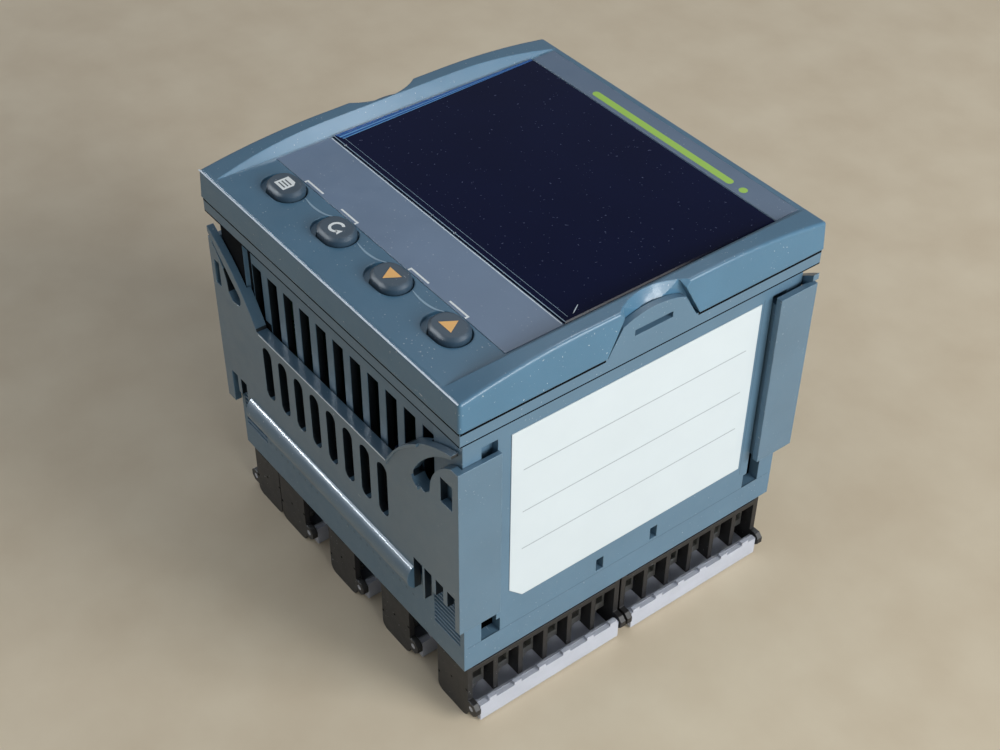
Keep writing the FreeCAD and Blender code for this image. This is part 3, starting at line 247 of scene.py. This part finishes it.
def clear(name, rgba, roughness=0.12, through=0.75):
    """Clear moulded plastic, slightly clouded."""
    paint = Paint(name)
    paint.set(transmission=through, ior=1.5)
    cloud = paint.ramp(paint.noise(180), 0.3, 0.7)
    paint.join(paint.mix(cloud, shade(rgba, 0.94), shade(rgba, 1.04)),
               paint.shader.inputs["Base Color"])
    paint.join(paint.ramp(cloud, 0.0, 1.0, roughness, roughness + 0.1),
               paint.shader.inputs["Roughness"])
    paint.bump(paint.noise(900), 0.1, GRAIN)
    return paint.material


def laminate(name, rgba):
    """Circuit board: lacquered, with a faint weave and tracks under the lacquer."""
    paint = Paint(name)
    tracks = paint.node("ShaderNodeTexBrick")
    tracks.inputs["Scale"].default_value = 260.0
    tracks.inputs["Color1"].default_value = shade(rgba, 1.0)
    tracks.inputs["Color2"].default_value = shade(rgba, 0.86)
    tracks.inputs["Mortar"].default_value = shade(rgba, 1.6)
    turn = paint.node("ShaderNodeMapping")
    turn.inputs["Rotation"].default_value = (math.radians(90), 0.0, math.radians(90))
    paint.join(paint.place, turn.inputs["Vector"])
    paint.join(turn.outputs["Vector"], tracks.inputs["Vector"])
    paint.join(tracks.outputs["Color"], paint.shader.inputs["Base Color"])
    paint.join(paint.ramp(paint.noise(300), 0.3, 0.7, 0.25, 0.4), paint.shader.inputs["Roughness"])
    paint.bump(tracks.outputs["Fac"], 0.2, 0.03 * MM)
    return paint.material


BEZEL = colour(72, 112, 139)
BODY = colour(84, 114, 136)

# Reach along X and along Y, and lowest level, of what gets painted shade: the inside of the sleeve with
# its vents; the walls of the clips' slots; and those of their eyes and finger gaps, if they face along X
SHADED_HOLLOW = (42.7 * MM, 44.15 * MM, 20.5 * MM)
SHADED_SLOTS = [((30.2 * MM, 47.36 * MM, 35.0 * MM), 0.3), ((44.6 * MM, 47.36 * MM, 33.1 * MM), 0.9)]

PAINTS = {
    "bezel_plastic": moulded("bezel_plastic", BEZEL, roughness=0.34, grain=0.5, dust=0.7, wear_and_sheen=0.5,
                             edge_highlight=0.45, specular=0.35, coat=0.4, coat_roughness=0.13),
    "key_plastic": moulded("key_plastic", colour(48, 69, 86), roughness=0.45, dust=0.5, edge_highlight=0.7),
    "display_lens": polished("display_lens", colour(10, 18, 52), specular=0.1),
    "legend_overlay": moulded("legend_overlay", colour(102, 124, 152), roughness=0.4, grain=0.12,
                              dust=0.5),
    "strip_overlay": moulded("strip_overlay", colour(88, 110, 136), roughness=0.4, grain=0.12,
                             dust=0.5),
    "seal_rubber": moulded("seal_rubber", colour(24, 27, 30), roughness=0.8),
    "sleeve_plastic": moulded("sleeve_plastic", BODY, roughness=0.42, dust=0.4, wear_and_sheen=0.4,
                              shaded_hollow=SHADED_HOLLOW, coat=0.15, coat_roughness=0.2),
    "clip_plastic": moulded("clip_plastic", shade(BODY, 0.95), roughness=0.34, dust=0.4, wear_and_sheen=0.6,
                            shaded_slots=SHADED_SLOTS, coat=0.5, coat_roughness=0.07),
    "terminal_plastic": moulded("terminal_plastic", colour(28, 27, 28), roughness=0.5, dust=0.5,
                                wear_and_sheen=0.3),
    "cover_clear": clear("cover_clear", colour(204, 209, 222), through=0.3),
    "screw_steel": brushed("screw_steel", colour(205, 204, 200)),
    "clamp_steel": brushed("clamp_steel", colour(178, 178, 174)),
    "label_film": moulded("label_film", colour(194, 204, 210), roughness=0.5, grain=0.08,
                          mottle=0.015, dust=0.2),
    "carrier_plastic": moulded("carrier_plastic", colour(40, 42, 44)),
    "lcd_glass": polished("lcd_glass", colour(30, 34, 40)),
    "light_guide": moulded("light_guide", colour(225, 228, 226), roughness=0.3),
    "circuit_board": laminate("circuit_board", colour(16, 52, 34)),
    "mat_rubber": moulded("mat_rubber", colour(150, 150, 148), roughness=0.75),
    "header_plastic": moulded("header_plastic", colour(24, 24, 26)),
    "core_steel": brushed("core_steel", colour(105, 105, 108), stretch=(12.0, 1.0, 1.0)),
    "coil_wire": moulded("coil_wire", colour(196, 150, 60), roughness=0.4),
    "capacitor_can": moulded("capacitor_can", colour(34, 38, 52), roughness=0.3),
    "relay_case": moulded("relay_case", colour(40, 70, 120), roughness=0.4),
    "chip_plastic": moulded("chip_plastic", colour(26, 26, 28)),
}
WHITE_INK = printed("white_ink", colour(232, 238, 240))
ORANGE_INK = printed("orange_ink", colour(244, 186, 104))
GREEN_INK = printed("green_ink", colour(160, 205, 70))
GREY_INK = printed("grey_ink", colour(150, 160, 168))
DARK_INK = printed("dark_ink", colour(44, 60, 74))
SHADOW_INK = printed("shadow_ink", colour(10, 13, 17), roughness=0.8, specular=0.05)
# A light colour for painted highlights on edges, and for the chips and the scratch on the lens
HIGHLIGHT_AND_SCRATCH_INK = printed("highlight_and_scratch_ink", colour(214, 228, 242), roughness=0.3)
# Painted highlight colour, for the step between the keys and the lens's lower edge
RIDGE_HIGHLIGHT_INK = printed("ridge_highlight_ink", colour(138, 168, 190), roughness=0.4)
# Colours of a painted reflection and painted highlights on the lens's left bevel
BLUE_REFLECTION_INK = printed("blue_reflection_ink", colour(22, 84, 158), roughness=0.2)
SKY_HIGHLIGHT_INK = printed("sky_highlight_ink", colour(96, 160, 214), roughness=0.2)
# The body's colour darkened: painted shade in the dimples, and the dark mould lines
SEAM_AND_SHADE_INK = printed("seam_and_shade_ink", shade(BODY, 0.72))


def dress_nodes():
    """Gives every CAD node the material of its slot in the record."""
    for entry in frame["record"]["subparts"]:
        node = frame["nodes"][entry["node"]]
        paint = PAINTS[entry["material_slot"]]
        if not node.material_slots:
            node.data.materials.append(paint)
        for slot in node.material_slots:
            slot.material = paint


# Flat printed marks: outlines on a plane, given a small thickness

SIDES = {
    "+Z": ((1, 0, 0), (0, 1, 0), (0, 0, 1)),
    "+X": ((0, 1, 0), (0, 0, 1), (1, 0, 0)),
    "-X": ((0, -1, 0), (0, 0, 1), (-1, 0, 0)),
    "+Y": ((-1, 0, 0), (0, 0, 1), (0, 1, 0)),
    "-Y": ((1, 0, 0), (0, 0, 1), (0, -1, 0)),
}


def plane(side, reach, middle=(0, 0, 0)):
    """A plane at a distance from the origin on one side, as a matrix from its own X, Y, Z."""
    across, up, out = (Vector(axis) for axis in SIDES[side])
    matrix = Matrix((across, up, out)).transposed().to_4x4()
    matrix.translation = out * reach + Vector(middle)
    return matrix


def facing(node, side):
    """The plane of a node's front or side."""
    low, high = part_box(node)
    if node in KEYS:
        return plane(side, high.z, ((low.x + high.x) / 2, (low.y + high.y) / 2, 0))
    return plane(side, high.dot(Vector(SIDES[side][2])))


def mark(name, outlines, place, ink, body, thick=INK):
    """Flat shapes, half sunk in a plane, riding on a body. Outlines are in millimetres."""
    mesh = bpy.data.meshes.new(name)
    shapes = bmesh.new()
    for outline in outlines:
        corners = [shapes.verts.new((x * MM, y * MM, thick / 2)) for x, y in outline]
        made = bmesh.ops.extrude_face_region(shapes, geom=[shapes.faces.new(corners)])
        moved = [item for item in made["geom"] if isinstance(item, bmesh.types.BMVert)]
        bmesh.ops.translate(shapes, vec=(0, 0, -thick), verts=moved)
    bmesh.ops.recalc_face_normals(shapes, faces=shapes.faces[:])
    shapes.to_mesh(mesh)
    shapes.free()
    mesh.transform(place)
    mesh.materials.append(ink)
    piece = bpy.data.objects.new(name, mesh)
    bpy.context.scene.collection.objects.link(piece)
    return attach(piece, body)


def arc(middle, radius, first, last, steps=24):
    """Points along an arc, with angles in degrees."""
    angles = [math.radians(first + (last - first) * step / steps) for step in range(steps + 1)]
    return [(middle[0] + radius * math.cos(a), middle[1] + radius * math.sin(a)) for a in angles]


def bar(x0, y0, x1, y1):
    return [(x0, y0), (x1, y0), (x1, y1), (x0, y1)]


def rounded_bar(x0, y0, x1, y1):
    """A bar along X with round ends."""
    radius = (y1 - y0) / 2
    middle = (y0 + y1) / 2
    right = arc((x1 - radius, middle), radius, -90, 90, 10)
    return right + arc((x0 + radius, middle), radius, 90, 270, 10)


def band(middle, radius, width, first, last):
    """Part of a ring."""
    outer = arc(middle, radius + width / 2, first, last)
    return outer + arc(middle, radius - width / 2, last, first)


def smooth(points, steps=8):
    """A smooth curve through some points: a Catmull-Rom spline."""
    padded = [points[0]] + points + [points[-1]]
    line = []
    for a, b, c, d in zip(padded, padded[1:], padded[2:], padded[3:]):
        for step in range(steps):
            t = step / steps
            line.append(tuple(0.5 * (2 * q + (r - p) * t + (2 * p - 5 * q + 4 * r - s) * t * t
                                     + (3 * q - p - 3 * r + s) * t ** 3)
                              for p, q, r, s in zip(a, b, c, d)))
    return line + [points[-1]]


def ribbon(points, width):
    """A narrow band that follows a smooth curve through some points and thins out at both ends."""
    line = smooth(points)
    upper, lower = [], []
    last = len(line) - 1
    for number, (x, y) in enumerate(line):
        before, after = line[max(number - 1, 0)], line[min(number + 1, last)]
        along = Vector((after[0] - before[0], after[1] - before[1])).normalized()
        half = width / 2 * (0.25 + 0.75 * math.sin(math.pi * number / last))
        upper.append((x - along.y * half, y + along.x * half))
        lower.append((x + along.y * half, y - along.x * half))
    return upper + lower[::-1]


def key_signs():
    def sign(key, outlines, ink, name, thick=INK):
        mark(name, outlines, facing(key, "+Z"), ink, f"{key}_body", thick)

    page = [(-1.9, -1.8), (1.8, -1.8), (1.8, 0.9), (0.9, 1.8), (-1.9, 1.8)]
    sign("page_button", [page], WHITE_INK, "page_sign")
    lines = [bar(-1.3, y, 1.2, y + 0.3) for y in (-1.15, -0.35, 0.45)]
    sign("page_button", lines, DARK_INK, "page_lines", 1.6 * INK)
    loop = [band((0, 0), 1.45, 0.65, 55, 330)]
    head = [(2.1, -1.4), (1.9, 0.25), (0.6, -0.7)]
    sign("scroll_button", loop + [head], WHITE_INK, "loop_sign")
    for key, turn in (("down_button", -1), ("up_button", 1)):
        name = key.split("_")[0]
        border = [(-2.35 * turn, -1.35 * turn), (2.35 * turn, -1.35 * turn), (0, 2.4 * turn)]
        arrow = [(-2.05 * turn, -1.2 * turn), (2.05 * turn, -1.2 * turn), (0, 2.1 * turn)]
        sign(key, [border], DARK_INK, f"{name}_border")
        sign(key, [arrow], ORANGE_INK, f"{name}_sign", 1.6 * INK)


def front_prints():
    """The brackets over the key pairs, and the stripe over the display."""
    legend = facing("legend_panel", "+Z")
    arm, line, tick, level = 6.3, 0.45, 1.0, -30.9
    brackets = []
    for left, right in ((-29.9, -10.3), (8.7, 28.3)):
        brackets.append([(left, level - tick), (left + line, level - tick),
                         (left + line, level - line), (left + arm, level - line),
                         (left + arm, level), (left, level)])
        brackets.append([(right - arm, level - line), (right - line, level - line),
                         (right - line, level - tick), (right, level - tick), (right, level),
                         (right - arm, level)])
    mark("key_brackets", brackets, legend, WHITE_INK, "instrument")
    strip = facing("upper_strip", "+Z")
    stripe = [rounded_bar(-20.8, 40.5, 25.6, 42.4), arc((28.9, 41.5), 1.0, 0, 345, 23)]
    mark("strip_stripe", stripe, strip, GREEN_INK, "instrument")


def lens_highlights_and_chips():
    """Painted light on the lens's polished edges, and a chip and a scratch near its right corner."""
    low, high = (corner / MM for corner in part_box("display_window"))
    front = facing("display_window", "+Z")
    x0, x1, y0, y1 = low.x + 0.15, high.x - 0.15, low.y, high.y - 0.4

    def glint_and_chip(name, outlines, ink, thick=INK):
        mark(name, outlines, front, ink, "instrument", thick)

    # Painted reflection: the left bevel drawn bright blue, with painted highlight lines along it
    glint_and_chip("lens_left_bevel_reflection",
          [[(x0, y0 + 0.5), (x0 + 2.3, y0 + 1.3), (x0 + 0.7, y1), (x0, y1)]], BLUE_REFLECTION_INK)
    glint_and_chip("lens_left_highlight", [[(x0 + 1.1, y0 + 0.9), (x0 + 1.5, y0 + 1.0), (x0 + 0.4, y1 - 1)],
                             [(x0 + 2.1, y0 + 1.2), (x0 + 2.35, y0 + 1.3), (x0 + 0.7, y1 - 1)]],
          SKY_HIGHLIGHT_INK, 1.6 * INK)
    # Painted highlights: two light lines along the lens's lower edge
    glint_and_chip("lens_low_highlights", [bar(x0, y0 + 0.12, x1, y0 + 0.3),
                             bar(x0 + 1, y0 + 1.55, x1 - 1, y0 + 1.63)], RIDGE_HIGHLIGHT_INK)
    nicks = ((-36.0, 0.3), (-30.4, 0.2), (-3.1, 0.22), (4.7, 0.3), (6.3, 0.18), (21.4, 0.2))
    chips = [arc((x, y0 + 0.2), size, 0, 300, 5) for x, size in nicks]
    scratch = ribbon([(38.1, -11.9), (39.0, -13.3), (39.7, -14.4)], 0.22)
    glint_and_chip("lens_marks", chips + [scratch], HIGHLIGHT_AND_SCRATCH_INK)
    # Painted highlight along the legend's upper edge
    legend_low, legend_high = (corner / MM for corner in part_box("legend_panel"))
    line = bar(legend_low.x + 0.4, legend_high.y - 0.3, legend_high.x - 0.4, legend_high.y - 0.02)
    mark("legend_edge_highlight", [line], facing("legend_panel", "+Z"), HIGHLIGHT_AND_SCRATCH_INK, "instrument")


def key_ridge_highlights():
    """The step in the front between the keys, drawn as a painted highlight along its edge."""
    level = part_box("legend_panel")[1].z - 0.05 * MM
    for number, key in enumerate(KEYS[:-1], 1):
        low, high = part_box(key)
        x, y = (low.x + high.x) / 2 / MM, (low.y + high.y) / 2 / MM
        path = [(x + 5.0, y + 1.6), (x + 8.6, y + 1.2), (x + 12.0, y + 1.6), (x + 14.2, y + 2.7)]
        mark(f"key_ridge_highlight_{number}", [ribbon(path, 0.5)], plane("+Z", level), RIDGE_HIGHLIGHT_INK,
             "instrument", 4 * INK)


# How far other faces lie from the sleeve's side faces, which carry the rating label, and the levels
# and places of features that repeat along them, all in millimetres
FLANGE_PROUD = 2.2
CLIP_PROUD = 2.0
VENT_RECESS = 1.1
VENT_PITCH = 6.53
FLANGE_THICK = 3.5
EAR_HALF = 12.2
FLANGE_HALF = 47.5
EVERY_SIDE = (("right", "+X"), ("left", "-X"), ("near", "-Y"), ("far", "+Y"))
LONG_SIDES = EVERY_SIDE[2:]


def sleeve_details():
    """Dimples near the rear edge as dots of painted shade, and the fine lines where the mould's parts
    met.
    """
    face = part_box("rating_label")[0].x

    def draw(name, outlines, side, ink=SEAM_AND_SHADE_INK):
        mark(name, outlines, plane(side, face), ink, "instrument")

    dots = [bar(x - 0.35, 26.0, x + 0.35, 26.7) for x in (-33.2 + 2.6 * step for step in range(24))]
    dots = [dot for number, dot in enumerate(dots) if number not in (9, 10, 11)]
    draw("dimple_shade_near", dots, "-Y")
    draw("dimple_shade_far", dots, "+Y")
    draw("mould_lines_right", [bar(34.4, 30.5, 34.55, 82.6), bar(-44.5, 25.2, 44.5, 25.35),
                               bar(-36.5, 33.7, -36.4, 53.7)], "+X")
    draw("mould_lines_left", [bar(34.4, 30.5, 34.55, 82.6), bar(-44.5, 25.2, 44.5, 25.35)], "-X")


def seams_and_flange_shadow():
    """The dark seam above the flange and a painted shadow under its lip. The ears interrupt the upper
    one.
    """
    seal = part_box("bezel_seal")[0].z / MM
    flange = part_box("rating_label")[0].x + FLANGE_PROUD * MM
    rear = seal - FLANGE_THICK
    # Painted shadow under the flange's lip
    lower = bar(-FLANGE_HALF, rear, FLANGE_HALF, rear + 0.3)
    low, high = seal - 0.5, seal + 0.6
    upper = {"X": [bar(-FLANGE_HALF, low, -EAR_HALF, high), bar(EAR_HALF, low, FLANGE_HALF, high)],
             "Y": [bar(-FLANGE_HALF, low, FLANGE_HALF, high)]}
    for tag, side in EVERY_SIDE:
        mark(f"seams_and_shadow_{tag}", [lower] + upper[side[1]], plane(side, flange), SHADOW_INK,
             "instrument", 2 * INK)


def shade_behind_clips():
    """Painted shade behind the clips: on the ribs' lower parts and the wall under the vents on both
    sides, and on the left end of the near side."""
    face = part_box("rating_label")[0].x
    recess = face - VENT_RECESS * MM
    vent_low, rib_half, wide = 46.0, 1.2, 35.2

    def shadow(name, outlines, side, reach):
        mark(name, outlines, plane(side, reach), SHADOW_INK, "instrument")

    middles = [VENT_PITCH * (step + 0.5) for step in range(-5, 5)]
    rib_shade = [bar(x - rib_half, vent_low, x + rib_half, 57.5) for x in middles]
    rib_shade.append(bar(-wide, 37.2, wide, vent_low))
    for tag, side in LONG_SIDES:
        shadow(f"shade_behind_clips_{tag}", rib_shade, side, recess)
    # Painted shade at the left end of the near side, behind the clip's arm
    end_low = 58.0
    shadow("vent_end_shade_deep", [bar(-35.9, end_low, -34.7, 87.0), bar(-33.6, end_low, -28.2, 66.0)],
           "-Y", recess)
    shadow("vent_end_shade_face", [bar(-45.2, end_low, -36.05, 87.4)], "-Y", face)


def painted_edge_highlights():
    """Painted highlight lines along the glossy edges of the front and of the clips' sills."""
    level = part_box("legend_panel")[1].z
    low, high = (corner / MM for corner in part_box("front_bezel"))
    line = bar(low.x + 0.6, low.y + 0.05, high.x - 0.6, low.y + 0.42)
    mark("bezel_edge_highlight_near", [line], plane("+Z", level), HIGHLIGHT_AND_SCRATCH_INK, "instrument")
    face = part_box("rating_label")[0].x + CLIP_PROUD * MM
    for node, side in (("clip_bottom", "-Y"), ("clip_top", "+Y")):
        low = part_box(node)[0].z / MM
        line = bar(-29.2, low + 31.0, 21.1, low + 31.36)
        mark(f"{node}_edge", [line], plane(side, face), HIGHLIGHT_AND_SCRATCH_INK, f"{node}_body")


def terminal_details():
    """The slit, the ejector mark and the nicks on each block's outer end, drawn in painted shade."""
    half = 5.6
    for number in BLOCKS:
        node = f"terminal_block_{number}"
        low, high = (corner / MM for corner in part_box(node))
        # The first column, of blocks 1 and 2, faces the other way
        middle = high.x - half if number < 3 else low.x + half
        side, x = ("-Y", middle) if low.y < 0 else ("+Y", -middle)
        slit = bar(x - 4.0, 14.9, x + 1.4, 15.7)
        ejector = arc((x - 0.4, 8.6), 0.32, 0, 330, 11)
        nicks = [bar(x - half + 0.02, 5.4, x - half + 0.7, 6.1), bar(x + half - 0.7, 9.2, x + half, 9.7)]
        mark(f"block_marks_{number}", [slit, ejector] + nicks,
             plane(side, max(-low.y, high.y) * MM), SHADOW_INK, "instrument")


def label_prints():
    """Plain ruled fields, left empty."""
    rules = [bar(-30.5, z, 30.5, z + 0.25) for z in (70.5, 58.5, 47.5)]
    mark("label_rules", rules, facing("rating_label", "+X"), GREY_INK, "instrument")


dress_nodes()
key_signs()
front_prints()
lens_highlights_and_chips()
key_ridge_highlights()
seams_and_flange_shadow()
sleeve_details()
shade_behind_clips()
painted_edge_highlights()
terminal_details()
label_prints()


# Camera, floor and light

PHOTO_WIDE = 1000        # pixels
FOCAL = 1615.26          # pixels
TARGET = Vector((2.72, -3.48, 51.5)) * MM
AZIMUTH, ELEVATION, ROLL, DISTANCE = 52.17, 41.20, 0.65, 371.46 * MM
LAMP_DISTANCE = 1.25


def make_camera():
    camera = bpy.data.objects.new("camera", bpy.data.cameras.new("camera"))
    bpy.context.scene.collection.objects.link(camera)
    sensor = 36.0
    camera.data.sensor_width = sensor
    camera.data.lens = sensor * FOCAL / PHOTO_WIDE
    camera.data.clip_start = 0.01
    azimuth, elevation, roll = (math.radians(angle) for angle in (AZIMUTH, ELEVATION, ROLL))
    back = Vector((math.sin(azimuth) * math.cos(elevation),
                   -math.cos(azimuth) * math.cos(elevation), math.sin(elevation)))
    right = (-back).cross(Vector((0, 0, 1))).normalized()
    up = right.cross(-back)
    across = right * math.cos(roll) + up * math.sin(roll)
    upward = up * math.cos(roll) - right * math.sin(roll)
    matrix = Matrix((across, upward, back)).transposed().to_4x4()
    matrix.translation = TARGET + back * DISTANCE
    camera.matrix_world = matrix
    bpy.context.scene.camera = camera


def make_floor():
    mesh = bpy.data.meshes.new("floor")
    reach = 3.0
    corners = [(x, y, 0) for x, y in bar(-reach, -reach, reach, reach)]
    mesh.from_pydata(corners, [], [(0, 1, 2, 3)])
    paint = Paint("floor_paper")
    fibres = paint.ramp(paint.noise(45, 6.0), 0.3, 0.7)
    paint.join(paint.mix(fibres, colour(208, 192, 166), colour(217, 203, 178)),
               paint.shader.inputs["Base Color"])
    paint.shader.inputs["Roughness"].default_value = 0.9
    mesh.materials.append(paint.material)
    floor = bpy.data.objects.new("floor", mesh)
    bpy.context.scene.collection.objects.link(floor)


def make_light(name, towards, size, power, tint):
    """A soft rectangular lamp in a direction from the object. Glints show in gloss only."""
    light = bpy.data.objects.new(name, bpy.data.lights.new(name, "AREA"))
    light.data.shape = "RECTANGLE"
    light.data.size, light.data.size_y = size
    light.data.energy = power
    light.data.color = tint
    direction = Vector(towards).normalized()
    light.location = TARGET + direction * LAMP_DISTANCE
    light.rotation_mode = "QUATERNION"
    light.rotation_quaternion = direction.to_track_quat("Z", "Y")
    light.visible_diffuse = not name.endswith("_glint")
    bpy.context.scene.collection.objects.link(light)


GLINT = (0.84, 0.92, 1.0)
LAMPS = [
    # name, direction, size in metres, power in watts, tint
    ("key_light", (0.80, 0.40, 0.44), (0.6, 0.5), 9.0, (1.0, 0.99, 0.97)),
    ("side_light", (0.95, 0.05, 0.23), (0.9, 0.5), 9.0, (0.95, 0.99, 1.0)),
    ("fill_light", (-0.6, -0.7, 0.75), (0.9, 0.9), 0.6, (0.93, 0.97, 1.0)),
    ("front_glint", (-0.594, -0.70, 0.40), (1.2, 0.05), 12.0, GLINT),
    ("upper_glint", (-0.594, -0.45, 0.67), (1.2, 0.05), 9.0, GLINT),
    ("side_glint", (0.66, 0.46, 0.60), (0.12, 0.9), 3.0, GLINT),
    ("rim_glint", (-0.29, 0.46, 0.84), (0.5, 0.12), 5.0, GLINT),
]


def make_lights():
    for lamp in LAMPS:
        make_light(*lamp)
    world = bpy.data.worlds.new("studio")
    world.use_nodes = True
    sky = world.node_tree.nodes["Background"].inputs
    sky["Color"].default_value = (0.93, 0.96, 1.0, 1.0)
    sky["Strength"].default_value = 0.31
    bpy.context.scene.world = world


make_camera()
make_floor()
make_lights()
bpy.context.scene.view_settings.view_transform = "Standard"
